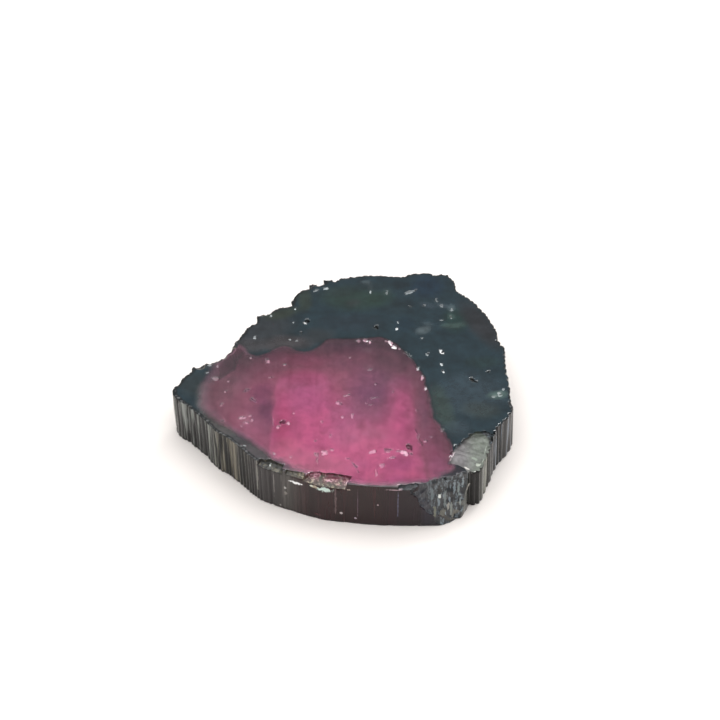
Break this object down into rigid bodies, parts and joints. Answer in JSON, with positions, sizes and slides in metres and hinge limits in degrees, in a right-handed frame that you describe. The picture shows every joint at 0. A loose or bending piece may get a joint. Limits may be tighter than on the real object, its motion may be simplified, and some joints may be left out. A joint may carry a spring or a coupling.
{
  "type": "bicolor tourmaline slab",
  "caption": "Flat polished cross-section slice of a tourmaline crystal, pink core in a dark blue-green rim, ribbed natural sides.",
  "frame": {"origin": "middle of the bottom of the bounding box, on the lower sawn face that the slab lies on", "axes": "+Z through the thickness of the slice, +X along its longest width, towards the side with the coarse ribs, and +Y towards the rounded dark back"},
  "size_m": [0.026, 0.0256, 0.0039],
  "materials": {
    "tourmaline": "polished saw-cut faces, ribbed natural sides"
  },
  "bodies": {
    "root": {"tourmaline_slab": "tourmaline"}
  },
  "joints": []
}
